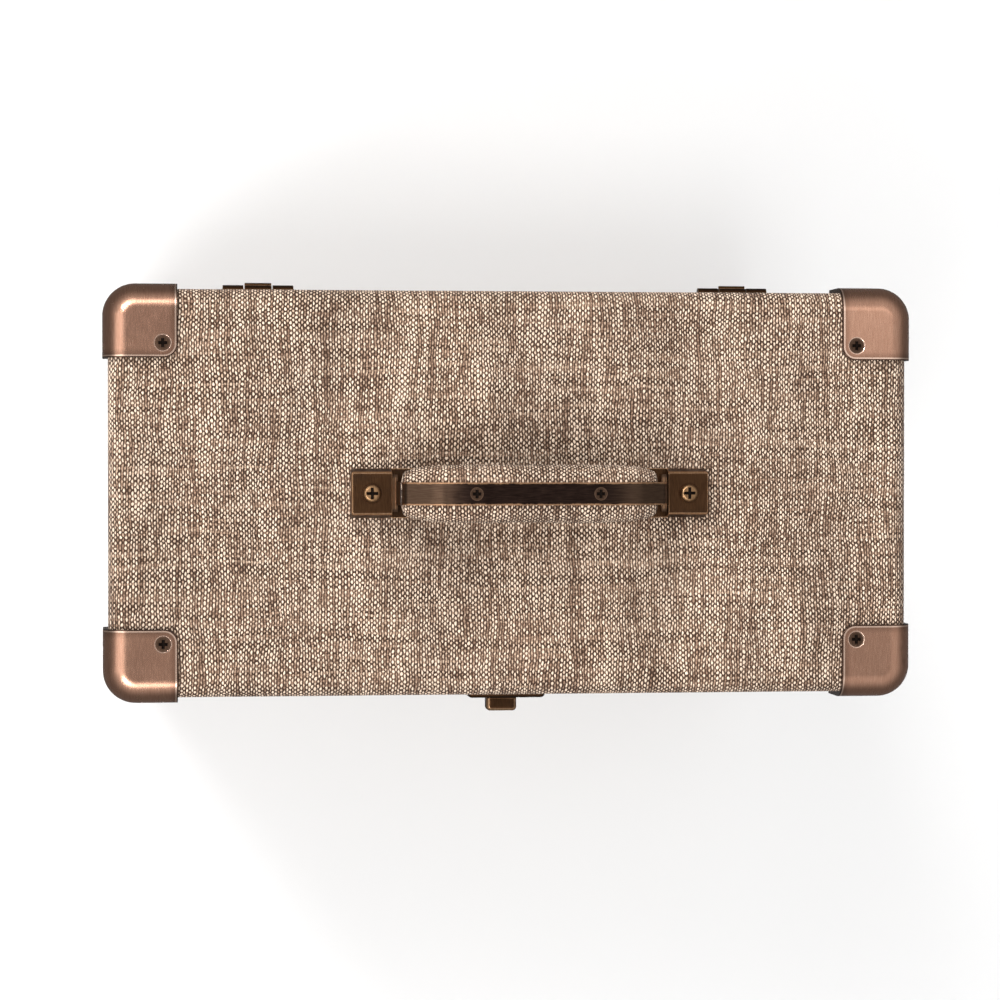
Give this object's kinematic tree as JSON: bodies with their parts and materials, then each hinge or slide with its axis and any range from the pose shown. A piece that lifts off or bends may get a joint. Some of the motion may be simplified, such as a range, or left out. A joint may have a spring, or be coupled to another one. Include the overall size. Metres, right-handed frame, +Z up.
{
  "type": "record carrying case",
  "caption": "Upright cloth-covered case for 12 inch records with a hinged lid, a snap latch, metal corner caps and a carrying handle on its lid.",
  "frame": {"origin": "centre of the underside of the bounding box, on the plane that the four bottom corner caps stand on", "axes": "+Z up through the lid and the handle, +X along the case's width, -Y out of the front with the latch"},
  "size_m": [0.3648, 0.2024, 0.3864],
  "materials": {
    "board": "bare fibreboard",
    "cloth": "coarse basket weave in cream, taupe and dark brown",
    "lining": "black paper-backed cloth",
    "collar": "black strip",
    "copper": "satin copper plate on pressed steel",
    "cap_screw": "coppered cross-head screws",
    "bronze": "antique bronze plate on steel",
    "steel": "zinc plated",
    "strap": "antique bronze plated spring steel",
    "grip_cloth": "the case's cloth, wrapped round the grip",
    "grip_core": "wooden core"
  },
  "bodies": {
    "body": {"body_back_board": "board", "body_bottom_board": "board", "body_cap_back_left": "copper", "body_cap_back_right": "copper", "body_cap_front_left": "copper", "body_cap_front_right": "copper", "body_cap_screws": "cap_screw", "body_collar": "collar", "body_cover": "cloth", "body_front_board": "board", "body_left_board": "board", "body_lining": "lining", "body_right_board": "board", "hinge_lower_leaf_left": "bronze", "hinge_lower_leaf_right": "bronze", "hinge_lower_screws": "bronze", "hinge_pin_left": "steel", "hinge_pin_right": "steel", "latch_base_plate": "bronze", "latch_housing": "bronze", "latch_return_spring": "steel", "latch_screws": "bronze"},
    "lid": {"handle_base_plate_left": "bronze", "handle_base_plate_right": "bronze", "handle_bracket_left": "bronze", "handle_bracket_right": "bronze", "handle_bracket_screws": "cap_screw", "handle_nuts": "steel", "handle_washers": "steel", "hinge_upper_leaf_left": "bronze", "hinge_upper_leaf_right": "bronze", "hinge_upper_screws": "bronze", "latch_tongue": "bronze", "latch_tongue_screws": "bronze", "lid_back_board": "board", "lid_cap_back_left": "copper", "lid_cap_back_right": "copper", "lid_cap_front_left": "copper", "lid_cap_front_right": "copper", "lid_cap_screws": "cap_screw", "lid_cover": "cloth", "lid_front_board": "board", "lid_left_board": "board", "lid_lining": "lining", "lid_right_board": "board", "lid_top_board": "board"},
    "handle": {"grip_core": "grip_core", "grip_cover": "grip_cloth", "grip_screws": "cap_screw", "handle_strap": "strap"},
    "latch_slide": {"latch_button": "bronze", "latch_slider": "bronze", "latch_catch": "steel"}
  },
  "joints": [
    {"name": "lid_hinge", "type": "hinge", "parent": "body", "child": "lid", "pos_m": [0, 0.09725, 0.2724], "axis": [-1, 0, 0], "range_deg": [0, 105]},
    {"name": "handle_lift", "type": "slide", "parent": "lid", "child": "handle", "axis": [0, 0, 1], "range_m": [0, 0.0034]},
    {"name": "latch_button_slide", "type": "slide", "parent": "body", "child": "latch_slide", "axis": [1, 0, 0], "range_m": [0, 0.004], "stiffness_N_per_m": 150, "deforming": ["latch_catch", "latch_return_spring"]}
  ]
}
